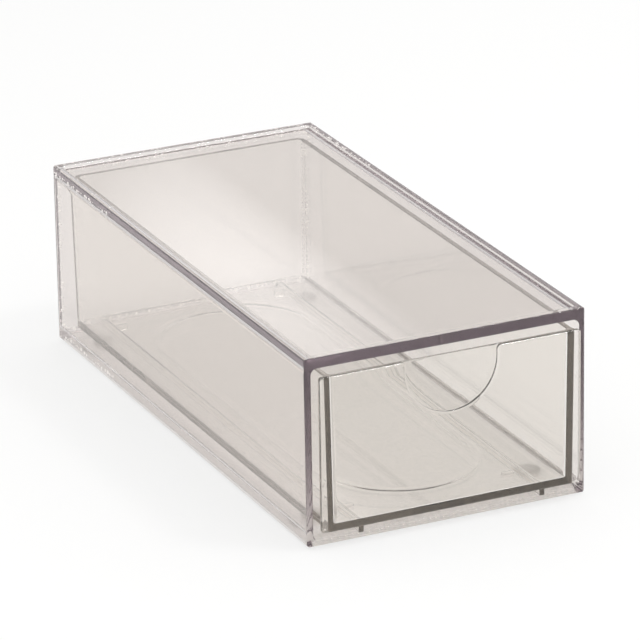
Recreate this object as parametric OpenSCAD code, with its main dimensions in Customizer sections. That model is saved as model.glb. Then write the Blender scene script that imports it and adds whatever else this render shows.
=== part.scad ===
// Clear stackable desk drawer: a moulded case, open at the front, with one pull-out drawer.
// Millimetres. The front faces -Y and +Z is up. The origin is the middle of the footprint, on the desk.

/* [Case] */
// Outside width of the case
case_w = 100; // [80:1:130]
// Outside length of the case, front to back
case_l = 207; // [150:1:260]
// Height of the case without its feet
case_h = 64.5; // [50:0.5:95]
// Thickness of the side walls
case_wall = 2.2; // [1.6:0.1:3.2]
// Thickness of the roof panel
roof_t = 2.7; // [1.6:0.1:3.5]
// Thickness of the floor panel
floor_t = 2.2; // [1.6:0.1:3.2]
// Radius of the outer edges
case_edge_r = 1; // [0.5:0.1:1.8]
// Radius of the corners inside the bay
bay_corner_r = 2.2; // [1:0.1:4]
// Height of the stacking rim above the roof panel
rim_h = 1; // [0.8:0.1:2.5]
// Width of the stacking rim
rim_w = 2.5; // [1.2:0.1:3.5]
// Height of the skirt below the floor panel
skirt_h = 1; // [0.6:0.1:2]
// Height of the front edge of the floor, below its sloped lead-in
lead_in_edge_h = 1.45; // [1.2:0.05:2]
// Length of the sloped lead-in
lead_in_l = 3.5; // [2:0.5:6]

/* [Rear panel] */
// Thickness of the rear panel
rear_t = 2.2; // [1.6:0.1:3.2]
// Gap that the weld fills around the rear panel
weld_gap = 0.05; // [0.02:0.01:0.1]

/* [Drawer] */
// How far the drawer's face stands in front of the case
face_proud = 4; // [0.5:0.1:6]
// Thickness of the drawer's face
face_t = 2.2; // [1.5:0.1:3]
// Gap between the face and the case at each side
face_side_gap = 1.3; // [0.5:0.05:2.5]
// Gap between the top of the drawer and the roof panel
head_gap = 1.9; // [1:0.1:6]
// Radius of the face's corners
face_corner_r = 1.2; // [0.5:0.1:2.5]
// How far the face reaches past the drawer's sides at the top
face_overhang = 2; // [1:0.05:3]
// Thickness of the drawer's sides and back
tray_wall = 2; // [1.4:0.05:2.8]
// Thickness of the drawer's floor
tray_floor_t = 2.2; // [1.5:0.1:3.5]
// Lean of the drawer's sides and back, in degrees
tray_draft = 0.8; // [0.5:0.05:2]
// Radius of the drawer's upright corners
tray_corner_r = 3.2; // [3:0.1:6]
// Gap between the drawer's back and the rear panel
rear_gap = 1.2; // [0.5:0.1:3]

/* [Finger notch] */
// Radius of the finger notch
notch_r = 16.2; // [10:0.1:20]
// Depth of the finger notch below the top of the face
notch_depth = 19.6; // [17.5:0.1:24]
// Radius of the notch's upper corners
notch_lip_r = 1.5; // [0.5:0.1:3]

/* [Runners] */
// Distance of each runner from the middle
runner_x = 32.5; // [24:0.5:36]
// Width of a runner
runner_w = 1.8; // [1.2:0.1:3]
// Height of a runner
runner_h = 2.1; // [1.4:0.1:3.5]
// Running gap below the runners
runner_play = 0.2; // [0.1:0.05:0.5]
// How far the runners start behind the front of the face
runner_setback = 4; // [0.2:0.1:6]

/* [Stops] */
// Width of the stop bumps and tabs
stop_w = 4; // [3:0.5:6]
// Length of the stop bumps and tabs along the travel
stop_l = 2; // [1.5:0.5:4]
// Height of the stop bumps on the case floor
stop_bump_h = 1.2; // [0.8:0.1:1.5]
// Gap between a stop and the runner beside it
stop_side_gap = 0.6; // [0.4:0.1:2]
// Distance of the bumps behind the front of the case
stop_bump_y = 14; // [10:1:25]
// Distance of the tabs ahead of the drawer's back
stop_tab_inset = 12; // [6:1:30]

/* [Floor bead] */
// Distance of the oval bead's outside from the drawer's middle line
bead_half_w = 28.5; // [20:0.5:31]
// Width of the bead
bead_w = 3.9; // [2:0.1:6]
// Height of the bead
bead_h = 0.4; // [0.2:0.1:0.8]
// Distance of the bead from the drawer's face and back, inside
bead_end_gap = 11.5; // [6:0.5:20]

/* [Feet] */
// Diameter of a foot pad
foot_d = 8; // [6:0.5:12]
// How far the feet stand below the skirt
foot_proud = 0.8; // [0.4:0.1:1.2]
// Distance of a foot's middle from the side of the case
foot_inset_x = 12; // [8:0.5:20]
// Distance of a foot's middle from the front or the back
foot_inset_y = 18; // [10:0.5:30]
// Radius of the foot's lower edge
foot_edge_r = 0.5; // [0.2:0.1:0.8]

/* [Hidden] */
$fn = 48;
HULL_FN = 32;
CUT = 1; // how far a cutting shape runs past the face that it cuts
LAP = 0.01; // how far two flat shapes reach into each other where they join

// Case, from the front face back and from the desk up
front_y = -(case_l - face_proud) / 2;
back_y = front_y + case_l;
skirt_z = foot_proud;
top_z = skirt_z + case_h;
bay_w = case_w - 2 * case_wall;
bay_floor_z = skirt_z + skirt_h + floor_t;
bay_roof_z = top_z - rim_h - roof_t;
rear_panel_y = back_y - rear_t;

// Drawer
face_w = bay_w - 2 * face_side_gap;
face_y = front_y - face_proud;
tray_z = bay_floor_z + runner_play + runner_h;
tray_top_z = bay_roof_z - head_gap;
tray_h = tray_top_z - tray_z;
tray_top_w = face_w - 2 * face_overhang;
tray_lean = tray_h * tan(tray_draft);
tray_back_y = rear_panel_y - rear_gap;
tray_front_y = face_y + face_t / 2; // the sides start inside the face
floor_lean = (tray_h - tray_floor_t) * tan(tray_draft);

// Stops
stop_x = runner_x - runner_w / 2 - stop_side_gap - stop_w / 2;
stop_tab_y = tray_back_y - tray_lean - stop_tab_inset;

// A rectangle with round corners, around the origin
module round_rect(w, h, r) {
  square([w - 2 * r, h], center = true);
  square([w, h - 2 * r], center = true);
  for (x = [-1, 1], y = [-1, 1]) translate([x * (w / 2 - r), y * (h / 2 - r)]) circle(r);
}

// A bar along Y with round long edges, between two heights
module long_bar(w, z_low, z_high, y_low, y_high, r) {
  translate([0, y_high, (z_low + z_high) / 2])
    rotate([90, 0, 0]) linear_extrude(y_high - y_low) round_rect(w, z_high - z_low, r);
}

// A plate with round upright edges, between two heights
module flat_plate(w, y_low, y_high, z_low, z_high, r) {
  translate([0, (y_low + y_high) / 2, z_low])
    linear_extrude(z_high - z_low) round_rect(w, y_high - y_low, r);
}

// The outside of the case: its long edges and its four upright edges are round
module case_block() {
  intersection() {
    long_bar(case_w, skirt_z, top_z, front_y, back_y, case_edge_r);
    flat_plate(case_w, front_y, back_y, skirt_z - CUT, top_z + CUT, case_edge_r);
  }
}

// The slope that lets the drawer in over the front edge of the floor
module lead_in() {
  edge_z = skirt_z + lead_in_edge_h;
  hull() {
    long_bar(bay_w, edge_z, bay_roof_z, front_y - CUT, front_y, bay_corner_r);
    long_bar(bay_w, bay_floor_z, bay_roof_z, front_y, front_y + lead_in_l, bay_corner_r);
  }
}

module stop_bump(side) {
  translate([side * stop_x - stop_w / 2, front_y + stop_bump_y, bay_floor_z - CUT])
    cube([stop_w, stop_l, stop_bump_h + CUT]);
}

module case_shell() {
  recess_r = case_edge_r;
  color([0.80, 0.77, 0.74, 0.45]) {
    difference() {
      case_block();
      long_bar(bay_w, bay_floor_z, bay_roof_z, front_y - CUT, back_y + CUT, bay_corner_r);
      flat_plate(case_w - 2 * rim_w, front_y + rim_w, back_y - rim_w,
                 bay_roof_z + roof_t, top_z + CUT, recess_r);
      flat_plate(case_w - 2 * rim_w, front_y + rim_w, back_y - rim_w,
                 skirt_z - CUT, skirt_z + skirt_h, recess_r);
      lead_in();
    }
    for (side = [-1, 1]) stop_bump(side);
  }
}

module rear_panel() {
  color([0.80, 0.77, 0.74, 0.45])
    long_bar(bay_w - 2 * weld_gap, bay_floor_z + weld_gap, bay_roof_z - weld_gap,
             rear_panel_y, back_y, bay_corner_r - weld_gap);
}

// The finger notch as a flat shape, with the top of the face at 0
module notch_shape() {
  middle_z = notch_r - notch_depth;
  translate([0, middle_z]) circle(notch_r, $fn = 96);
  translate([-notch_r, middle_z]) square([2 * notch_r, notch_depth]);
  for (side = [-1, 1]) difference() {
    translate([side * (notch_r + notch_lip_r / 2), (CUT - notch_lip_r) / 2])
      square([notch_lip_r + 2 * LAP, notch_lip_r + CUT], center = true);
    translate([side * (notch_r + notch_lip_r), -notch_lip_r]) circle(notch_lip_r);
  }
}

module drawer_face() {
  translate([0, face_y + face_t, tray_top_z]) rotate([90, 0, 0]) linear_extrude(face_t)
    difference() {
      translate([0, -tray_h / 2]) round_rect(face_w, tray_h, face_corner_r);
      notch_shape();
    }
}

// A box that widens upwards at its sides and its back, with round upright corners at the back
module leaning_box(bottom_w, front, back, z_low, height, r) {
  lean = height * tan(tray_draft);
  hull() for (level = [0, 1]) translate([0, 0, z_low + level * (height - LAP)])
    linear_extrude(LAP) {
      half_w = bottom_w / 2 + level * lean;
      for (side = [-1, 1]) translate([side * (half_w - r), back + level * lean - r])
        circle(r, $fn = HULL_FN);
      translate([-half_w, front]) square([2 * half_w, r]);
    }
}

// The oval bead on the drawer's floor
module oval(half_w, front, back) {
  hull() for (y = [front + half_w, back - half_w]) translate([0, y]) circle(half_w, $fn = 64);
}

module floor_bead() {
  front = face_y + face_t + bead_end_gap;
  back = tray_back_y - tray_lean - tray_wall - bead_end_gap;
  translate([0, 0, tray_z + tray_floor_t - CUT]) linear_extrude(CUT + bead_h) difference() {
    oval(bead_half_w, front, back);
    oval(bead_half_w - bead_w, front + bead_w, back - bead_w);
  }
}

module runner(side) {
  front = face_y + runner_setback + runner_w / 2;
  back = tray_back_y - tray_lean - tray_corner_r;
  translate([side * runner_x, front, tray_z - runner_h])
    cylinder(h = runner_h + CUT, d = runner_w);
  translate([side * runner_x - runner_w / 2, front, tray_z - runner_h])
    cube([runner_w, back - front, runner_h + CUT]);
}

module stop_tab(side) {
  translate([side * stop_x - stop_w / 2, stop_tab_y, tray_z - runner_h])
    cube([stop_w, stop_l, runner_h + CUT]);
}

module drawer_tray() {
  bottom_w = tray_top_w - 2 * tray_lean;
  inner_bottom_w = tray_top_w - 2 * floor_lean - 2 * tray_wall;
  inner_back = tray_back_y - floor_lean - tray_wall;
  color([0.83, 0.80, 0.76, 0.45]) {
    drawer_face();
    difference() {
      leaning_box(bottom_w, tray_front_y, tray_back_y - tray_lean, tray_z, tray_h, tray_corner_r);
      leaning_box(inner_bottom_w, tray_front_y, inner_back, tray_z + tray_floor_t,
                  tray_h - tray_floor_t + CUT, tray_corner_r - tray_wall);
    }
    floor_bead();
    for (side = [-1, 1]) {
      runner(side);
      stop_tab(side);
    }
  }
}

// A clear pad glued under the floor panel, side -1 left or 1 right, end -1 front or 1 back
module foot(side, end) {
  pad_h = foot_proud + skirt_h;
  middle_y = (front_y + back_y) / 2;
  color([0.88, 0.87, 0.85, 0.6])
    translate([side * (case_w / 2 - foot_inset_x),
               middle_y + end * (case_l / 2 - foot_inset_y), 0])
      rotate_extrude() {
        translate([0, foot_edge_r]) square([foot_d / 2, pad_h - foot_edge_r]);
        square([foot_d / 2 - foot_edge_r, pad_h]);
        intersection() {
          translate([foot_d / 2 - foot_edge_r, foot_edge_r]) circle(foot_edge_r);
          square([foot_d / 2, foot_edge_r]);
        }
      }
}

case_shell();
rear_panel();
drawer_tray();
foot(-1, -1);  // foot_front_left
foot(1, -1);  // foot_front_right
foot(-1, 1);  // foot_rear_left
foot(1, 1);  // foot_rear_right
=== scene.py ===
"""Looks of a clear stackable desk drawer: moulded case, welded rear panel, pull-out drawer and four pads."""
import math

import bmesh
import bpy
from mathutils import Matrix, Vector


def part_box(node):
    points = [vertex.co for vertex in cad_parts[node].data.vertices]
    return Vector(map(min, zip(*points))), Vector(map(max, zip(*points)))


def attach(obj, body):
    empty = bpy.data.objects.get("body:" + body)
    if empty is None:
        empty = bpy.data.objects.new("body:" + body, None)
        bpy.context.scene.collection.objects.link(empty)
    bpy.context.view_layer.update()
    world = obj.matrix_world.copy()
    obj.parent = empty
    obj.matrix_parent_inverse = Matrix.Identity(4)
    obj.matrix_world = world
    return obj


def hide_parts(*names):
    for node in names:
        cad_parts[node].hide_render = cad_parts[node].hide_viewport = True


bl_info = {
    "name": "Clear Desk Drawer",
    "version": (1, 0, 0),
    "blender": (4, 5, 0),
    "location": "3D View > Sidebar > Desk Drawer",
    "description": "Builds the looks of a clear case with one pull-out drawer",
    "category": "Object",
}

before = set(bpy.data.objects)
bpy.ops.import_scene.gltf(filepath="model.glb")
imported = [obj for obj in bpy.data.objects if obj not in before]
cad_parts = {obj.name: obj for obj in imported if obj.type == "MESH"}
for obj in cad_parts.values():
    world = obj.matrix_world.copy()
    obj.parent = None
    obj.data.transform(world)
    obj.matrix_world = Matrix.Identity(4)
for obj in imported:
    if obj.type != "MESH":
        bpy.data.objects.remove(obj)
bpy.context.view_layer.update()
MM = 0.001
TURN = 2 * math.pi
QUARTER = TURN / 4
CORNER_STEPS = 10      # facets on a quarter turn
CUT = 1 * MM           # how far a cutting shape runs past the face that it cuts
SHARP = math.radians(38)
WELD_DISTANCE = 0.002 * MM
BEAD_STEPS = 16        # rings across the oval bead
BEAD_SHOULDER = 0.8    # share of the bead's half width that its shoulder takes
PLASTIC_IOR = 1.5
ROOM_LIGHT = 0.75      # brightness of the room up to eye level
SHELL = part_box("case_shell")
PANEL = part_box("rear_panel")
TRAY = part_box("drawer_tray")


class DeskDrawerSizes(bpy.types.PropertyGroup):
    """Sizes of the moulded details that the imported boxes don't give."""
    case_wall: bpy.props.FloatProperty(
        name="Side wall", description="Thickness of the case's side walls", default=2.2 * MM, unit="LENGTH")
    roof_t: bpy.props.FloatProperty(
        name="Roof panel", description="Thickness of the roof panel", default=2.7 * MM, unit="LENGTH")
    floor_t: bpy.props.FloatProperty(
        name="Floor panel", description="Thickness of the case's floor panel",
        default=2.2 * MM, unit="LENGTH")
    case_edge_r: bpy.props.FloatProperty(
        name="Case edge", description="Radius of the case's outer edges", default=1.0 * MM, unit="LENGTH")
    bay_corner_r: bpy.props.FloatProperty(
        name="Bay corner", description="Radius of the corners inside the bay",
        default=2.2 * MM, unit="LENGTH")
    rim_h: bpy.props.FloatProperty(
        name="Rim height", description="Height of the stacking rim and of the skirt",
        default=1.0 * MM, unit="LENGTH")
    rim_w: bpy.props.FloatProperty(
        name="Rim width", description="Width of the stacking rim", default=2.5 * MM, unit="LENGTH")
    lead_in_edge_h: bpy.props.FloatProperty(
        name="Lead-in edge", description="Height of the floor's front edge", default=1.45 * MM, unit="LENGTH")
    lead_in_l: bpy.props.FloatProperty(
        name="Lead-in length", description="Length of the sloped lead-in", default=3.5 * MM, unit="LENGTH")
    face_t: bpy.props.FloatProperty(
        name="Face", description="Thickness of the drawer's face", default=2.2 * MM, unit="LENGTH")
    face_corner_r: bpy.props.FloatProperty(
        name="Face corner", description="Radius of the face's corners", default=1.2 * MM, unit="LENGTH")
    face_edge_r: bpy.props.FloatProperty(
        name="Face edge", description="Rounding of the face's outline and of the notch",
        default=0.85 * MM, unit="LENGTH")
    face_overhang: bpy.props.FloatProperty(
        name="Face overhang", description="How far the face reaches past the drawer's sides at the top",
        default=2.0 * MM, unit="LENGTH")
    tray_wall: bpy.props.FloatProperty(
        name="Tray wall", description="Thickness of the drawer's sides and back",
        default=2.0 * MM, unit="LENGTH")
    tray_floor_t: bpy.props.FloatProperty(
        name="Tray floor", description="Thickness of the drawer's floor", default=2.2 * MM, unit="LENGTH")
    tray_draft: bpy.props.FloatProperty(
        name="Draft", description="Lean of the drawer's sides and back",
        default=math.radians(0.8), subtype="ANGLE")
    tray_corner_r: bpy.props.FloatProperty(
        name="Tray corner", description="Radius of the drawer's upright corners",
        default=3.2 * MM, unit="LENGTH")
    inner_fillet_r: bpy.props.FloatProperty(
        name="Inner fillet", description="Radius between the drawer's floor and its walls",
        default=0.5 * MM, unit="LENGTH")
    floor_step: bpy.props.FloatProperty(
        name="Floor step", description="Depth of the step round the drawer's floor",
        default=0.1 * MM, unit="LENGTH")
    floor_step_r: bpy.props.FloatProperty(
        name="Floor step corner", description="Corner radius of the step round the drawer's floor",
        default=11 * MM, unit="LENGTH")
    notch_r: bpy.props.FloatProperty(
        name="Notch", description="Radius of the finger notch", default=16.2 * MM, unit="LENGTH")
    notch_depth: bpy.props.FloatProperty(
        name="Notch depth", description="Depth of the finger notch", default=19.6 * MM, unit="LENGTH")
    notch_lip_r: bpy.props.FloatProperty(
        name="Notch lip", description="Radius of the notch's upper corners", default=1.5 * MM, unit="LENGTH")
    runner_x: bpy.props.FloatProperty(
        name="Runner place", description="Distance of each runner from the middle",
        default=32.5 * MM, unit="LENGTH")
    runner_w: bpy.props.FloatProperty(
        name="Runner width", description="Width of a runner", default=1.8 * MM, unit="LENGTH")
    runner_h: bpy.props.FloatProperty(
        name="Runner height", description="Height of a runner", default=2.1 * MM, unit="LENGTH")
    runner_setback: bpy.props.FloatProperty(
        name="Runner setback", description="How far the runners start behind the face's front",
        default=0.5 * MM, unit="LENGTH")
    stop_w: bpy.props.FloatProperty(
        name="Stop width", description="Width of the stop bumps and tabs", default=4.0 * MM, unit="LENGTH")
    stop_l: bpy.props.FloatProperty(
        name="Stop length", description="Length of the stop bumps and tabs", default=2.0 * MM, unit="LENGTH")
    stop_bump_h: bpy.props.FloatProperty(
        name="Bump height", description="Height of the stop bumps on the case floor",
        default=1.2 * MM, unit="LENGTH")
    stop_x: bpy.props.FloatProperty(
        name="Stop place", description="Distance of each stop from the middle",
        default=29.0 * MM, unit="LENGTH")
    stop_bump_y: bpy.props.FloatProperty(
        name="Bump setback", description="Distance of the bumps behind the front of the case",
        default=14.0 * MM, unit="LENGTH")
    stop_tab_inset: bpy.props.FloatProperty(
        name="Tab setback", description="Distance of the tabs ahead of the drawer's back",
        default=12.0 * MM, unit="LENGTH")
    bead_half_w: bpy.props.FloatProperty(
        name="Bead place", description="Distance of the oval bead's middle from the drawer's middle line",
        default=26.5 * MM, unit="LENGTH")
    bead_w: bpy.props.FloatProperty(
        name="Bead width", description="Width of the oval bead", default=3.9 * MM, unit="LENGTH")
    bead_h: bpy.props.FloatProperty(
        name="Bead height", description="Height of the oval bead", default=0.18 * MM, unit="LENGTH")
    bead_end_gap: bpy.props.FloatProperty(
        name="Bead end gap", description="Distance of the bead from the drawer's face and back",
        default=11.5 * MM, unit="LENGTH")
    foot_edge_r: bpy.props.FloatProperty(
        name="Pad edge", description="Radius of a pad's lower edge", default=0.5 * MM, unit="LENGTH")
    edge_break: bpy.props.FloatProperty(
        name="Edge break", description="Width of the small rounding on every moulded edge",
        default=0.22 * MM, unit="LENGTH")
    weld_spacing: bpy.props.FloatProperty(
        name="Weld spacing", description="Distance between the beads of the rear weld", default=1.7 * MM,
        unit="LENGTH")
    weld_tail: bpy.props.FloatProperty(
        name="Weld tail", description="How far the weld creeps forward along the long corners",
        default=46 * MM, unit="LENGTH")
    weld_bead: bpy.props.FloatProperty(
        name="Weld bead", description="Radius of the largest bead of the rear weld", default=0.75 * MM,
        unit="LENGTH")


class DeskDrawerFinish(bpy.types.PropertyGroup):
    """Colours of the plastics and the stage."""
    case_tint: bpy.props.FloatVectorProperty(
        name="Case tint", description="Light that the case's surface lets through", subtype="COLOR",
        size=3, min=0, max=1, default=(0.898, 0.866, 0.846))
    drawer_tint: bpy.props.FloatVectorProperty(
        name="Drawer tint", description="Light that the drawer's surface lets through", subtype="COLOR",
        size=3, min=0, max=1, default=(0.996, 0.987, 0.970))
    case_depth_tint: bpy.props.FloatVectorProperty(
        name="Case depth tint", description="Colour that long paths through the case turn to",
        subtype="COLOR", size=3, min=0, max=1, default=(0.54, 0.475, 0.515))
    drawer_depth_tint: bpy.props.FloatVectorProperty(
        name="Drawer depth tint", description="Colour that long paths through the drawer turn to",
        subtype="COLOR", size=3, min=0, max=1, default=(0.60, 0.57, 0.53))
    case_depth: bpy.props.FloatProperty(
        name="Case depth density",
        description="How fast the case's plastic darkens along a path, per metre", default=19.0, min=0)
    drawer_depth: bpy.props.FloatProperty(
        name="Drawer depth density",
        description="How fast the drawer's plastic darkens along a path, per metre", default=19.0, min=0)
    frost_tint: bpy.props.FloatVectorProperty(
        name="Frost tint", description="Colour of the frosting under the case", subtype="COLOR",
        size=3, min=0, max=1, default=(0.91, 0.87, 0.83))
    pad_tint: bpy.props.FloatVectorProperty(
        name="Pad tint", description="Colour of the clear pads", subtype="COLOR",
        size=3, min=0, max=1, default=(0.985, 0.98, 0.97))
    table_colour: bpy.props.FloatVectorProperty(
        name="Table", description="Colour of the pale floor", subtype="COLOR",
        size=3, min=0, max=1, default=(0.25, 0.25, 0.249))
    table_glow: bpy.props.FloatProperty(
        name="Table glow", description="Light that the pale floor gives by itself", default=0.72, min=0)


class Wire:
    """One socket in a node tree. Arithmetic on it adds Math nodes."""

    def __init__(self, tree, socket):
        self.tree = tree
        self.socket = socket

    def math(self, operation, *values):
        node = self.tree.nodes.new("ShaderNodeMath")
        node.operation = operation
        for slot, value in zip(node.inputs, values):
            if isinstance(value, Wire):
                self.tree.links.new(value.socket, slot)
            else:
                slot.default_value = value
        return Wire(self.tree, node.outputs[0])

    def __add__(self, other):
        return self.math("ADD", self, other)

    def __radd__(self, other):
        return self.math("ADD", other, self)

    def __sub__(self, other):
        return self.math("SUBTRACT", self, other)

    def __rsub__(self, other):
        return self.math("SUBTRACT", other, self)

    def __mul__(self, other):
        return self.math("MULTIPLY", self, other)

    def __truediv__(self, other):
        return self.math("DIVIDE", self, other)

    def __pow__(self, other):
        return self.math("POWER", self, other)

    def at_least(self, other):
        return self.math("MAXIMUM", self, other)

    def at_most(self, other):
        return self.math("MINIMUM", self, other)


class NodeBench:
    """Builds a shader or geometry tree: settings first, then the values or links of the sockets."""

    def __init__(self, tree):
        self.tree = tree
        tree.nodes.clear()

    def node(self, kind, settings=None, values=None, out=0):
        node = self.tree.nodes.new(kind)
        for name, value in (settings or {}).items():
            setattr(node, name, value)
        for name, value in (values or {}).items():
            slot = node.inputs[name]
            if isinstance(value, Wire):
                self.tree.links.new(value.socket, slot)
            else:
                slot.default_value = value
        return Wire(self.tree, node.outputs[out]) if node.outputs else node

    def split(self, wire):
        node = self.tree.nodes.new("ShaderNodeSeparateXYZ")
        self.tree.links.new(wire.socket, node.inputs[0])
        return [Wire(self.tree, socket) for socket in node.outputs]

    def blend(self, factor, low, high):
        """A colour between low and high."""
        node = self.tree.nodes.new("ShaderNodeMix")
        node.data_type = "RGBA"
        self.tree.links.new(factor.socket, node.inputs[0])
        node.inputs[6].default_value = (*low, 1)
        node.inputs[7].default_value = (*high, 1)
        return Wire(self.tree, node.outputs[2])


# Mesh work

def rounded_ring(x_half, y_low, y_high, r_low, r_high):
    """Points of a rectangle with round corners, low end radius r_low and high end radius r_high."""
    ring = []
    corners = ((1, y_low, r_low, -1), (1, y_high, r_high, 1), (-1, y_high, r_high, 1), (-1, y_low, r_low, -1))
    for number, (side, y_end, r, end) in enumerate(corners):
        start = (number - 1) * QUARTER
        centre = (side * (x_half - r), y_end - end * r)
        for step in range(CORNER_STEPS + 1):
            a = start + step * QUARTER / CORNER_STEPS
            ring.append((centre[0] + r * math.cos(a), centre[1] + r * math.sin(a)))
    return ring


def new_object(name, bm):
    mesh = bpy.data.meshes.new(name)
    bm.to_mesh(mesh)
    bm.free()
    obj = bpy.data.objects.new(name, mesh)
    bpy.context.scene.collection.objects.link(obj)
    return obj


def loft(name, rings):
    """A closed solid through rings of 3D points, with flat ends."""
    bm = bmesh.new()
    rows = [[bm.verts.new(p) for p in ring] for ring in rings]
    for low, high in zip(rows, rows[1:]):
        for i in range(len(low)):
            j = (i + 1) % len(low)
            bm.faces.new((low[i], low[j], high[j], high[i]))
    bm.faces.new(rows[0][::-1])
    bm.faces.new(rows[-1])
    bmesh.ops.recalc_face_normals(bm, faces=bm.faces)
    return new_object(name, bm)


def upright(name, levels):
    """A solid through (z, x_half, y_low, y_high, r_low, r_high) levels."""
    return loft(name, [[(x, y, level[0]) for x, y in rounded_ring(*level[1:])] for level in levels])


def lengthwise(name, stations):
    """A solid along Y through (y, x_half, z_low, z_high, r) stations."""
    return loft(name, [[(x, y, z) for x, z in rounded_ring(half, z_low, z_high, r, r)]
                       for y, half, z_low, z_high, r in stations])


def block(name, low, high):
    bm = bmesh.new()
    bmesh.ops.create_cube(bm, size=1)
    size = Vector(high) - Vector(low)
    middle = (Vector(high) + Vector(low)) / 2
    bmesh.ops.transform(bm, matrix=Matrix.Translation(middle) @ Matrix.Diagonal((*size, 1)), verts=bm.verts)
    return new_object(name, bm)


def move_sideways(obj, x):
    obj.data.transform(Matrix.Translation((x, 0, 0)))


def settle(obj):
    """Bakes the object's modifiers into a plain mesh."""
    graph = bpy.context.evaluated_depsgraph_get()
    mesh = bpy.data.meshes.new_from_object(
        obj.evaluated_get(graph), preserve_all_data_layers=True, depsgraph=graph)
    old = obj.data
    obj.modifiers.clear()
    obj.data = mesh
    mesh.name = obj.name
    if isinstance(old, bpy.types.Mesh) and not old.users:
        bpy.data.meshes.remove(old)


def combine(obj, tool, operation):
    """A boolean with a second solid, which is used up."""
    modifier = obj.modifiers.new("combine", "BOOLEAN")
    modifier.operation = operation
    modifier.object = tool
    modifier.solver = "EXACT"
    settle(obj)
    bpy.data.objects.remove(tool)
    return obj


def break_edges(obj, width, segments=2):
    """Rounds every edge that is sharper than SHARP."""
    bm = bmesh.new()
    bm.from_mesh(obj.data)
    bmesh.ops.remove_doubles(bm, verts=bm.verts, dist=WELD_DISTANCE)
    bmesh.ops.recalc_face_normals(bm, faces=bm.faces)
    sharp = [e for e in bm.edges if len(e.link_faces) == 2 and e.calc_face_angle(0) > SHARP]
    bmesh.ops.bevel(bm, geom=sharp, offset=width, offset_type="OFFSET", segments=segments, profile=0.5,
                    affect="EDGES", clamp_overlap=False, loop_slide=True)
    bmesh.ops.remove_doubles(bm, verts=bm.verts, dist=WELD_DISTANCE)
    open_edges = [e for e in bm.edges if len(e.link_faces) != 2]
    if open_edges:
        raise RuntimeError(f"{obj.name} has {len(open_edges)} open edges")
    bmesh.ops.triangulate(bm, faces=[f for f in bm.faces if len(f.verts) > 4])
    bm.to_mesh(obj.data)
    bm.free()
    return obj


def smooth_faces(obj):
    """Smooth shading that keeps the flat faces flat."""
    for face in obj.data.polygons:
        face.use_smooth = True
    modifier = obj.modifiers.new("normals", "WEIGHTED_NORMAL")
    modifier.weight = 100
    settle(obj)


def dress(obj, material, body, slot, *nodes):
    """Gives a finished piece its material, its body and the CAD nodes that it stands for."""
    obj.data.materials.clear()
    obj.data.materials.append(material)
    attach(obj, body)
    if nodes:
        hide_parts(*nodes)


# Materials

def new_material(name):
    """A bare material, the bench for its tree and a wire with the Object coordinates."""
    material = bpy.data.materials.new(name)
    material.use_nodes = True
    bench = NodeBench(material.node_tree)
    return material, bench, bench.node("ShaderNodeTexCoord", out=3)


def clear_plastic(name, tint, depth_tint, depth, frost=None):
    """Clear moulded plastic: faint flow waves, handling haze and a body that darkens along its thickness.
    frost is a tint and the half width, half length and top of the area that it covers."""
    material, bench, place = new_material(name)
    flow = bench.node("ShaderNodeMapping", None, {"Vector": place, "Scale": (1.0, 0.25, 1.0)})
    waves = bench.node("ShaderNodeTexNoise", None, {
        "Vector": flow, "Scale": 55.0, "Detail": 2.0, "Roughness": 0.45})
    cloud = bench.node("ShaderNodeTexNoise", None, {"Vector": place, "Scale": 18.0, "Detail": 3.0})
    fine = bench.node("ShaderNodeTexNoise", None, {"Vector": place, "Scale": 900.0, "Detail": 2.0})
    polish, haze, clean_share = 0.012, 0.06, 0.48
    handling = (cloud - clean_share).at_least(0.0) * 4.0
    roughness = polish + handling * haze * fine
    colour = bench.blend(cloud, tint, [min(1.0, c * 1.012) for c in tint])
    bump = bench.node("ShaderNodeBump", None, {"Strength": 0.35, "Distance": 0.02 * MM, "Height": waves})
    surface = bench.node("ShaderNodeBsdfPrincipled", None, {
        "Base Color": colour, "Roughness": roughness, "Normal": bump,
        "IOR": PLASTIC_IOR, "Transmission Weight": 1.0})
    if frost:
        frost_tint, x_half, y_half, top = frost
        x, y, z = bench.split(place)
        crisp = 1e12           # turns any place inside the area into a full 1
        inside = (x_half * x_half - x * x).at_least(0.0) * (y_half * y_half - y * y).at_least(0.0)
        under = (inside * (top - z).at_least(0.0) * crisp).at_most(1.0)
        thinnest, mottle = 0.45, 0.3
        veil = bench.node("ShaderNodeBsdfTranslucent", None, {"Color": (*frost_tint, 1)})
        surface = bench.node("ShaderNodeMixShader", None, {
            0: under * (thinnest + fine * mottle), 1: surface, 2: veil})
    body = bench.node("ShaderNodeVolumeAbsorption", None, {"Color": (*depth_tint, 1), "Density": depth})
    bench.node("ShaderNodeOutputMaterial", None, {"Surface": surface, "Volume": body})
    return material


def solvent_with_painted_glow(name):
    """Bubbles and set solvent along a weld: silvery, with a faint painted glow (emission) that stands in for
    their glints.
    """
    material, bench, place = new_material(name)
    cloud = bench.node("ShaderNodeTexNoise", None, {"Vector": place, "Scale": 700.0, "Detail": 2.0})
    surface = bench.node("ShaderNodeBsdfPrincipled", None, {
        "Base Color": bench.blend(cloud, (1.0, 0.99, 0.97), (0.86, 0.83, 0.79)),
        "Roughness": 0.06 + cloud * 0.1, "Metallic": 0.4, "IOR": PLASTIC_IOR,
        # painted glint: this emission makes the drops glow although they are no lamp
        "Emission Color": (1.0, 0.98, 0.95, 1), "Emission Strength": 0.45})
    bench.node("ShaderNodeOutputMaterial", None, {"Surface": surface})
    return material


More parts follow.
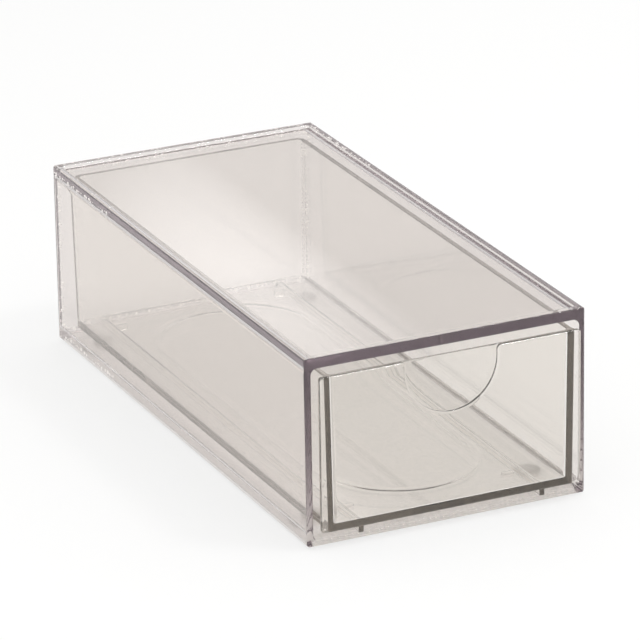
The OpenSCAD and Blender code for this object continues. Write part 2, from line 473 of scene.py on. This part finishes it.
def pad_plastic(name, tint):
    """Soft clear pad plastic, a little milky and matt."""
    material, bench, place = new_material(name)
    grain = bench.node("ShaderNodeTexNoise", None, {"Vector": place, "Scale": 2500.0, "Detail": 3.0})
    bump = bench.node("ShaderNodeBump", None, {"Strength": 0.3, "Distance": 0.02 * MM, "Height": grain})
    colour = bench.blend(grain, tint, [c * 0.95 for c in tint])
    surface = bench.node("ShaderNodeBsdfPrincipled", None, {
        "Base Color": colour, "Roughness": 0.12 + grain * 0.08, "Normal": bump,
        "IOR": 1.45, "Transmission Weight": 0.97})
    bench.node("ShaderNodeOutputMaterial", None, {"Surface": surface})
    return material


def table_finish(name, colour, glow):
    """A matt white table top with a very fine grain, lit a little from inside."""
    material, bench, place = new_material(name)
    grain = bench.node("ShaderNodeTexNoise", None, {"Vector": place, "Scale": 300.0, "Detail": 2.0})
    surface = bench.node("ShaderNodeBsdfPrincipled", None, {
        "Base Color": bench.blend(grain, colour, [c * 0.99 for c in colour]),
        "Roughness": 0.9, "Specular IOR Level": 0.1,
        "Emission Color": (1, 1, 0.995, 1), "Emission Strength": glow})
    bench.node("ShaderNodeOutputMaterial", None, {"Surface": surface})
    return material


def card_glow(name, room_light, sheen):
    """The card's glow: as bright as the room, with one soft slanting oval that is brighter by sheen."""
    material, bench, place = new_material(name)
    x, _, z = bench.split(place)
    slant_x, slant_z = 0.677, 0.736        # direction of the oval's short axis
    half_width, half_length = 0.038, 0.11
    across = (x * slant_x - z * slant_z + 0.078) / half_width
    along = (x * slant_z + z * slant_x - 0.355) / half_length
    oval = (1.0 - across * across).at_least(0.0) * (1.0 - along * along).at_least(0.0)
    light = bench.node("ShaderNodeEmission", None, {
        "Color": (1, 1, 1, 1), "Strength": room_light + oval * sheen})
    bench.node("ShaderNodeOutputMaterial", None, {"Surface": light})
    return material


# Geometry trees

def new_tree(name, inputs):
    """A geometry tree with named inputs. Gives the bench and a wire for each input."""
    tree = bpy.data.node_groups.new(name, "GeometryNodeTree")
    for label, kind in inputs:
        tree.interface.new_socket(label, in_out="INPUT", socket_type=kind)
    tree.interface.new_socket("Geometry", in_out="OUTPUT", socket_type="NodeSocketGeometry")
    bench = NodeBench(tree)
    source = tree.nodes.new("NodeGroupInput")
    return bench, {label: Wire(tree, source.outputs[label]) for label, _ in inputs}


def end_tree(bench, geometry, material):
    """Smooth faces, real instances, a material and the way out."""
    smooth = bench.node("GeometryNodeSetShadeSmooth", None, {"Geometry": geometry})
    real = bench.node("GeometryNodeRealizeInstances", None, {"Geometry": smooth})
    painted = bench.node("GeometryNodeSetMaterial", None, {"Geometry": real, "Material": material})
    bench.node("NodeGroupOutput", None, {"Geometry": painted})
    return bench.tree


def grow(name, tree, values):
    """Runs a geometry tree on an empty mesh and keeps the result as a plain mesh."""
    obj = new_object(name, bmesh.new())
    modifier = obj.modifiers.new("grow", "NODES")
    modifier.node_group = tree
    for item in tree.interface.items_tree:
        if item.item_type == "SOCKET" and item.in_out == "INPUT" and item.name in values:
            modifier[item.identifier] = values[item.name]
    settle(obj)
    bm = bmesh.new()
    bm.from_mesh(obj.data)
    bmesh.ops.recalc_face_normals(bm, faces=bm.faces)
    bm.to_mesh(obj.data)
    bm.free()
    return obj


def pad_tree():
    """A round pad with a rounded lower rim, turned about the Z axis."""
    bench, given = new_tree("turned_pad", (
        ("Diameter", "NodeSocketFloat"), ("Height", "NodeSocketFloat"), ("Edge Radius", "NodeSocketFloat"),
        ("Place", "NodeSocketVector"), ("Material", "NodeSocketMaterial")))
    radius, height, edge = given["Diameter"] * 0.5, given["Height"], given["Edge Radius"]
    body = bench.node("GeometryNodeMeshCylinder", {"fill_type": "NGON"}, {
        "Vertices": 64, "Side Segments": 24, "Radius": radius, "Depth": height})
    x, y, z = bench.split(bench.node("GeometryNodeInputPosition"))
    above_table = z + height * 0.5
    below_edge = (edge - above_table).at_least(0.0)
    inset = edge - (edge * edge - below_edge * below_edge).at_least(0.0) ** 0.5
    scale = 1 - inset / radius
    turned = bench.node("ShaderNodeCombineXYZ", None, {"X": x * scale, "Y": y * scale, "Z": above_table})
    shaped = bench.node("GeometryNodeSetPosition", None, {
        "Geometry": body, "Position": turned, "Offset": given["Place"]})
    return end_tree(bench, shaped, given["Material"])


def weld_tree():
    """Bubbles along the seam of the rear panel, with a tail forward from each of its corners."""
    bench, given = new_tree("weld_beads", (
        ("Width", "NodeSocketFloat"), ("Height", "NodeSocketFloat"), ("Corner Radius", "NodeSocketFloat"),
        ("Spacing", "NodeSocketFloat"), ("Bead Radius", "NodeSocketFloat"), ("Place", "NodeSocketVector"),
        ("Tail Length", "NodeSocketFloat"), ("Tail Width", "NodeSocketFloat"),
        ("Tail Height", "NodeSocketFloat"), ("Material", "NodeSocketMaterial")))
    outline = bench.node("GeometryNodeCurvePrimitiveQuadrilateral", {"mode": "RECTANGLE"}, {
        "Width": given["Width"], "Height": given["Height"]})
    seam = bench.node("GeometryNodeFilletCurve", {"mode": "POLY"}, {
        "Curve": outline, "Count": 6, "Radius": given["Corner Radius"]})
    standing = bench.node("GeometryNodeTransform", None, {
        "Geometry": seam, "Rotation": (QUARTER, 0, 0), "Translation": given["Place"]})
    front = bench.node("ShaderNodeCombineXYZ", None, {"Y": given["Tail Length"] * -1.0})
    tail = bench.node("GeometryNodeCurvePrimitiveLine", {"mode": "POINTS"}, {
        "Start": (0, 0, 0), "End": front})
    corner = bench.node("GeometryNodeCurvePrimitiveQuadrilateral", {"mode": "RECTANGLE"}, {
        "Width": given["Tail Width"], "Height": given["Tail Height"]})
    corners = bench.node("GeometryNodeTransform", None, {
        "Geometry": corner, "Rotation": (QUARTER, 0, 0), "Translation": given["Place"]})
    corner_points = bench.node("GeometryNodeCurveToPoints", {"mode": "EVALUATED"}, {"Curve": corners})
    tails = bench.node("GeometryNodeInstanceOnPoints", None, {"Points": corner_points, "Instance": tail})
    real_tails = bench.node("GeometryNodeRealizeInstances", None, {"Geometry": tails})
    lines = bench.tree.nodes.new("GeometryNodeJoinGeometry")
    for part in (real_tails, standing):
        bench.tree.links.new(part.socket, lines.inputs[0])
    points = bench.node("GeometryNodeResampleCurve", {"mode": "LENGTH"}, {
        "Curve": Wire(bench.tree, lines.outputs[0]), "Length": given["Spacing"]})
    wander = bench.node("FunctionNodeRandomValue", {"data_type": "FLOAT_VECTOR"}, {
        0: (-1.0, -1.0, -1.0), 1: (1.0, 1.0, 1.0), "Seed": 7})
    shift = bench.node("ShaderNodeVectorMath", {"operation": "SCALE"}, {
        0: wander, "Scale": given["Spacing"] * 0.175})
    moved = bench.node("GeometryNodeSetPosition", None, {"Geometry": points, "Offset": shift})
    drop = bench.node("GeometryNodeMeshIcoSphere", None, {"Radius": given["Bead Radius"], "Subdivisions": 2})
    chance = bench.node("FunctionNodeRandomValue", {"data_type": "FLOAT"}, {2: 0.3, 3: 1.0, "Seed": 3}, out=1)
    beads = bench.node("GeometryNodeInstanceOnPoints", None, {
        "Points": moved, "Instance": drop, "Scale": chance * chance})
    return end_tree(bench, beads, given["Material"])


# Operators

class DESKDRAWER_OT_case(bpy.types.Operator):
    """Build the moulded case shell"""
    bl_idname = "deskdrawer.build_case"
    bl_label = "Case shell"

    def execute(self, context):
        sizes, finish = context.scene.desk_drawer_sizes, context.scene.desk_drawer_finish
        low, high = SHELL
        x_half, front, back = high.x, low.y, high.y
        bay_half = x_half - sizes.case_wall
        bay_floor = low.z + sizes.rim_h + sizes.floor_t
        bay_roof = high.z - sizes.rim_h - sizes.roof_t
        shell = upright("case_shell_clear", [
            (z, x_half, front, back, sizes.case_edge_r, sizes.case_edge_r) for z in (low.z, high.z)])
        long_edges = lengthwise("long_edges", [
            (y, x_half, low.z, high.z, sizes.case_edge_r) for y in (front - CUT, back + CUT)])
        combine(shell, long_edges, "INTERSECT")
        lead_in_start = low.z + sizes.lead_in_edge_h - CUT / 2
        bay = lengthwise("bay", [
            (front - CUT, bay_half, lead_in_start, bay_roof, sizes.bay_corner_r),
            (front + sizes.lead_in_l, bay_half, bay_floor, bay_roof, sizes.bay_corner_r),
            (back + CUT, bay_half, bay_floor, bay_roof, sizes.bay_corner_r)])
        combine(shell, bay, "DIFFERENCE")
        rim, edge = sizes.rim_w, sizes.case_edge_r
        for z_low, z_high in ((high.z - sizes.rim_h, high.z + CUT), (low.z - CUT, low.z + sizes.rim_h)):
            recess = upright("recess", [
                (z, x_half - rim, front + rim, back - rim, edge, edge) for z in (z_low, z_high)])
            combine(shell, recess, "DIFFERENCE")
        bump_y = front + sizes.stop_bump_y
        for side in (-1, 1):
            x = side * sizes.stop_x
            bump = block("bump", (x - sizes.stop_w / 2, bump_y, bay_floor - CUT),
                         (x + sizes.stop_w / 2, bump_y + sizes.stop_l, bay_floor + sizes.stop_bump_h))
            combine(shell, bump, "UNION")
        smooth_faces(break_edges(shell, sizes.edge_break))
        frost = (finish.frost_tint, x_half - rim, (back - front) / 2 - rim, low.z + sizes.rim_h + 0.1 * MM)
        plastic = clear_plastic("case_clear_plastic", finish.case_tint, finish.case_depth_tint,
                                finish.case_depth, frost)
        dress(shell, plastic, "case", "case_plastic", "case_shell")
        return {"FINISHED"}


class DESKDRAWER_OT_rear_panel(bpy.types.Operator):
    """Build the rear panel that is welded into the case"""
    bl_idname = "deskdrawer.build_rear_panel"
    bl_label = "Rear panel"

    def execute(self, context):
        sizes = context.scene.desk_drawer_sizes
        low, high = PANEL
        panel = lengthwise("rear_panel_clear", [
            (y, high.x, low.z, high.z, sizes.bay_corner_r) for y in (low.y, high.y)])
        smooth_faces(break_edges(panel, sizes.edge_break * 0.7))
        dress(panel, bpy.data.materials["case_clear_plastic"], "case", "case_plastic", "rear_panel")
        return {"FINISHED"}


class DESKDRAWER_OT_weld(bpy.types.Operator):
    """Build the beads along the rear panel's seam"""
    bl_idname = "deskdrawer.build_weld"
    bl_label = "Rear weld"

    def execute(self, context):
        sizes = context.scene.desk_drawer_sizes
        low, high = PANEL
        inset = sizes.weld_bead * 0.5
        # the drops' material carries a painted glow that stands in for glints
        plastic = solvent_with_painted_glow("weld_drops_painted_glow")
        beads = grow("rear_weld_beads", weld_tree(), {
            "Width": 2 * (high.x - inset), "Height": high.z - low.z - 2 * inset,
            "Corner Radius": sizes.bay_corner_r, "Spacing": sizes.weld_spacing,
            "Bead Radius": sizes.weld_bead,
            "Place": (0.0, low.y - sizes.weld_bead * 0.4, (low.z + high.z) / 2),
            "Tail Length": sizes.weld_tail, "Tail Width": 2 * (high.x + sizes.case_wall * 0.45),
            "Tail Height": high.z - low.z + sizes.floor_t, "Material": plastic})
        dress(beads, plastic, "case", "case_plastic")
        return {"FINISHED"}


class DESKDRAWER_OT_drawer(bpy.types.Operator):
    """Build the pull-out drawer as one moulding"""
    bl_idname = "deskdrawer.build_drawer"
    bl_label = "Drawer"

    def execute(self, context):
        sizes, finish = context.scene.desk_drawer_sizes, context.scene.desk_drawer_finish
        plastic = clear_plastic("drawer_clear_plastic", finish.drawer_tint, finish.drawer_depth_tint,
                                finish.drawer_depth)
        low, high = TRAY
        top, bottom, front, back = high.z, low.z + sizes.runner_h, low.y, high.y
        tray = self.body(sizes, top, bottom, front, back)
        combine(tray, self.face(sizes, top, bottom, front, high.x), "UNION")
        self.add_runners(tray, sizes, bottom, front, back, top)
        smooth_faces(break_edges(tray, sizes.edge_break))
        dress(tray, plastic, "drawer", "drawer_plastic", "drawer_tray")
        return {"FINISHED"}

    @staticmethod
    def body(sizes, top, bottom, front, back):
        """The leaning walls and the floor, with the cavity's rounded and stepped floor."""
        slope = math.tan(sizes.tray_draft)
        half_top = TRAY[1].x - sizes.face_overhang
        lower_edge_r, hidden_r, start = 0.3 * MM, 0.2 * MM, front + sizes.face_t / 2
        edge_steps = 4
        outside = []
        for step in range(edge_steps + 1):
            a = step * QUARTER / edge_steps
            z, inset = bottom + lower_edge_r * (1 - math.cos(a)), lower_edge_r * (1 - math.sin(a))
            lean = (top - z) * slope + inset
            outside.append((z, half_top - lean, start, back - lean, hidden_r, sizes.tray_corner_r - inset))
        outside.append((top, half_top, start, back, hidden_r, sizes.tray_corner_r))
        tray = upright("drawer_tray_clear", outside)
        fillet, inner_front = sizes.inner_fillet_r, front + sizes.face_t
        floor = bottom + sizes.tray_floor_t

        def inside(z, inset, r):
            lean = (top - z) * slope + sizes.tray_wall + inset
            return (z, half_top - lean, inner_front + inset, back - lean, r, r)

        inner_back = back - (top - floor) * slope - sizes.tray_wall
        levels = DESKDRAWER_OT_drawer.bead(sizes, floor - sizes.floor_step, inner_front, inner_back)
        for depth, gap, corner in ((1.0, 1.0, 1.0), (1.0, 0.7, 0.97), (0.5, 0.4, 0.93), (0.0, 0.1, 0.9)):
            levels.append(inside(
                floor - sizes.floor_step * depth, fillet + gap * MM, sizes.floor_step_r * corner))
        fillet_steps, lower_corner_r, upper_corner_r = 5, 0.8 * MM, 1.4 * MM
        for step in range(fillet_steps + 1):
            a = step * QUARTER / fillet_steps
            r = lower_corner_r + (upper_corner_r - lower_corner_r) * step / fillet_steps
            levels.append(inside(floor + fillet * (1 - math.cos(a)), fillet * (1 - math.sin(a)), r))
        levels.append(inside(top + CUT, 0, upper_corner_r))
        return combine(tray, upright("cavity", levels), "DIFFERENCE")

    @staticmethod
    def face(sizes, top, bottom, front, x_half):
        """The face with its round finger notch."""
        r, lip, notch = sizes.face_corner_r, sizes.notch_lip_r, sizes.notch_r
        middle = top + notch - sizes.notch_depth
        line = []

        def arc(x, z, radius, start, end, steps):
            for step in range(steps + 1):
                a = math.radians(start + (end - start) * step / steps)
                line.append((x + radius * math.cos(a), z + radius * math.sin(a)))

        arc(-x_half + r, bottom + r, r, 180, 270, 8)
        arc(x_half - r, bottom + r, r, 270, 360, 8)
        arc(x_half - r, top - r, r, 0, 90, 8)
        arc(notch + lip, top - lip, lip, 90, 180, 8)
        arc(0, middle, notch, 0, -180, 64)
        arc(-notch - lip, top - lip, lip, 0, 90, 8)
        arc(-x_half + r, top - r, r, 90, 180, 8)
        plate = loft("face", [[(x, y, z) for x, z in line] for y in (front, front + sizes.face_t)])
        return break_edges(plate, sizes.face_edge_r, 4)

    @staticmethod
    def bead(sizes, floor, front, back):
        """The oval bead as rings from its inside out: soft shoulders and a nearly flat crown."""
        rings = []
        for step in range(BEAD_STEPS + 1):
            place = 2 * step / BEAD_STEPS - 1
            half = sizes.bead_half_w + place * sizes.bead_w / 2
            rise = min(1.0, (1 - abs(place)) / BEAD_SHOULDER)
            z = floor + sizes.bead_h * rise * rise * (3 - 2 * rise)
            gap = sizes.bead_end_gap + sizes.bead_w / 2 + sizes.bead_half_w - half
            rings.append((z, half, front + gap, back - gap, half * 0.999, half * 0.999))
        return rings

    @staticmethod
    def add_runners(tray, sizes, bottom, front, back, top):
        """Joins the two runner ribs and the two stop tabs under the floor."""
        lean = (top - bottom) * math.tan(sizes.tray_draft)
        half, low, rib_edge_r = sizes.runner_w / 2, bottom - sizes.runner_h, 0.25 * MM
        first, last = front + sizes.runner_setback, back - lean - sizes.tray_corner_r
        tab_y = back - lean - sizes.stop_tab_inset
        for side in (-1, 1):
            rib = upright("rib", [
                (z, half, first, last, rib_edge_r, rib_edge_r) for z in (low, bottom + CUT)])
            move_sideways(rib, side * sizes.runner_x)
            combine(tray, rib, "UNION")
            x = side * sizes.stop_x
            tab = block("tab", (x - sizes.stop_w / 2, tab_y, low),
                        (x + sizes.stop_w / 2, tab_y + sizes.stop_l, bottom + CUT))
            combine(tray, tab, "UNION")


class DESKDRAWER_OT_pads(bpy.types.Operator):
    """Build the four clear pads under the case"""
    bl_idname = "deskdrawer.build_pads"
    bl_label = "Pads"

    def execute(self, context):
        sizes, finish = context.scene.desk_drawer_sizes, context.scene.desk_drawer_finish
        tree = pad_tree()
        plastic = pad_plastic("pad_clear_soft_plastic", finish.pad_tint)
        air_film = 0.02 * MM
        for node in ("foot_front_left", "foot_front_right", "foot_rear_left", "foot_rear_right"):
            low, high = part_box(node)
            pad = grow(node.replace("foot", "pad"), tree, {
                "Diameter": high.x - low.x, "Height": high.z - low.z - air_film,
                "Edge Radius": sizes.foot_edge_r, "Material": plastic,
                "Place": ((low.x + high.x) / 2, (low.y + high.y) / 2, low.z)})
            dress(pad, plastic, "case", "foot_pad", node)
        return {"FINISHED"}


class DESKDRAWER_OT_stage(bpy.types.Operator):
    """Set up the pale table, the soft light and the camera"""
    bl_idname = "deskdrawer.build_stage"
    bl_label = "Stage"

    def execute(self, context):
        scene, finish = context.scene, context.scene.desk_drawer_finish
        self.table(finish)
        self.lights(scene)
        self.card()
        self.camera(scene)
        scene.view_settings.view_transform = "Standard"
        scene.cycles.max_bounces = 72
        scene.cycles.glossy_bounces = 64
        scene.cycles.transmission_bounces = 64
        scene.cycles.transparent_max_bounces = 16
        return {"FINISHED"}

    @staticmethod
    def table(finish):
        """A wide table top, a hair below the pads."""
        half_size, drop = 15.0, 0.02 * MM
        bm = bmesh.new()
        bmesh.ops.create_grid(bm, x_segments=8, y_segments=8, size=half_size)
        bmesh.ops.translate(bm, vec=(0, 0, -drop), verts=bm.verts)
        table = new_object("table", bm)
        table.data.materials.append(table_finish("matt_table", finish.table_colour, finish.table_glow))

    @staticmethod
    def lights(scene):
        """A room of even light, brighter overhead, and one small softbox."""
        world = bpy.data.worlds.new("soft_room")
        world.use_nodes = True
        bench = NodeBench(world.node_tree)
        height = bench.split(bench.node("ShaderNodeTexCoord"))[2]
        eye_level, climb = 0.45, 1.1
        overhead = (height - eye_level).at_least(0.0) * climb
        sky = bench.node("ShaderNodeBackground", None, {
            "Color": (1.0, 1.0, 1.0, 1), "Strength": ROOM_LIGHT + overhead})
        bench.node("ShaderNodeOutputWorld", None, {"Surface": sky})
        scene.world = world
        place, aim = Vector((0.63, -0.58, 1.35)), Vector((0, 0, 0.03))
        light = bpy.data.lights.new("top_softbox", "AREA")
        light.shape = "RECTANGLE"
        light.size = light.size_y = 0.25
        light.energy = 4.5
        lamp = bpy.data.objects.new("top_softbox", light)
        lamp.location = place
        lamp.rotation_mode = "QUATERNION"
        lamp.rotation_quaternion = (aim - place).to_track_quat("-Z", "Y")
        lamp.visible_camera = False
        scene.collection.objects.link(lamp)

    @staticmethod
    def card():
        """A glowing card behind the drawer that fades into the room, for the soft sheen on the roof."""
        centre, half_x, half_z = Vector((0.16, 0.50, 0.30)), 0.55, 0.28
        bm = bmesh.new()
        bmesh.ops.create_grid(bm, x_segments=6, y_segments=4, size=1)
        upright_turn = Matrix.Rotation(QUARTER, 4, "X")
        matrix = Matrix.Translation(centre) @ upright_turn @ Matrix.Diagonal((half_x, half_z, 1, 1))
        bmesh.ops.transform(bm, matrix=matrix, verts=bm.verts)
        card = new_object("light_card", bm)
        card.data.materials.append(card_glow("light_card_glow", ROOM_LIGHT, 0.9))
        card.visible_camera = False

    @staticmethod
    def camera(scene):
        """A long lens that looks down on the front left corner."""
        azimuth, elevation, roll = (math.radians(a) for a in (-24.92, 21.21, -0.935))
        distance = 1.714
        target = (SHELL[0] + SHELL[1]) / 2 + Vector((3.8 * MM, 0, 0.45 * MM))
        back = Vector((math.sin(azimuth) * math.cos(elevation), -math.cos(azimuth) * math.cos(elevation),
                       math.sin(elevation)))
        right = Vector((math.cos(azimuth), math.sin(azimuth), 0))
        up = back.cross(right)
        rolled_right = right * math.cos(roll) + up * math.sin(roll)
        rolled_up = up * math.cos(roll) - right * math.sin(roll)
        data = bpy.data.cameras.new("camera")
        data.sensor_width = 36.0
        data.lens = 285.4
        camera = bpy.data.objects.new("camera", data)
        turn = Matrix((rolled_right, rolled_up, back)).transposed().to_4x4()
        camera.matrix_world = Matrix.Translation(target + back * distance) @ turn
        data.clip_start, data.clip_end = 0.05, 60
        scene.collection.objects.link(camera)
        scene.camera = camera


class DESKDRAWER_PT_sidebar(bpy.types.Panel):
    """Lists the steps that build the drawer"""
    bl_label = "Desk Drawer"
    bl_idname = "DESKDRAWER_PT_sidebar"
    bl_space_type = "VIEW_3D"
    bl_region_type = "UI"
    bl_category = "Desk Drawer"

    def draw(self, context):
        column = self.layout.column(align=True)
        for step in STEPS:
            column.operator(step.bl_idname)
        for group in (context.scene.desk_drawer_sizes, context.scene.desk_drawer_finish):
            box = self.layout.box()
            for name in group.__annotations__:
                box.prop(group, name)


STEPS = (DESKDRAWER_OT_case, DESKDRAWER_OT_rear_panel, DESKDRAWER_OT_weld, DESKDRAWER_OT_drawer,
         DESKDRAWER_OT_pads, DESKDRAWER_OT_stage)
CLASSES = (DeskDrawerSizes, DeskDrawerFinish, *STEPS, DESKDRAWER_PT_sidebar)


def register():
    for cls in CLASSES:
        bpy.utils.register_class(cls)
    bpy.types.Scene.desk_drawer_sizes = bpy.props.PointerProperty(type=DeskDrawerSizes)
    bpy.types.Scene.desk_drawer_finish = bpy.props.PointerProperty(type=DeskDrawerFinish)


def unregister():
    del bpy.types.Scene.desk_drawer_finish
    del bpy.types.Scene.desk_drawer_sizes
    for cls in reversed(CLASSES):
        bpy.utils.unregister_class(cls)


def main():
    register()
    for step in STEPS:
        group, name = step.bl_idname.split(".")
        getattr(getattr(bpy.ops, group), name)()


if __name__ == "__main__":
    main()
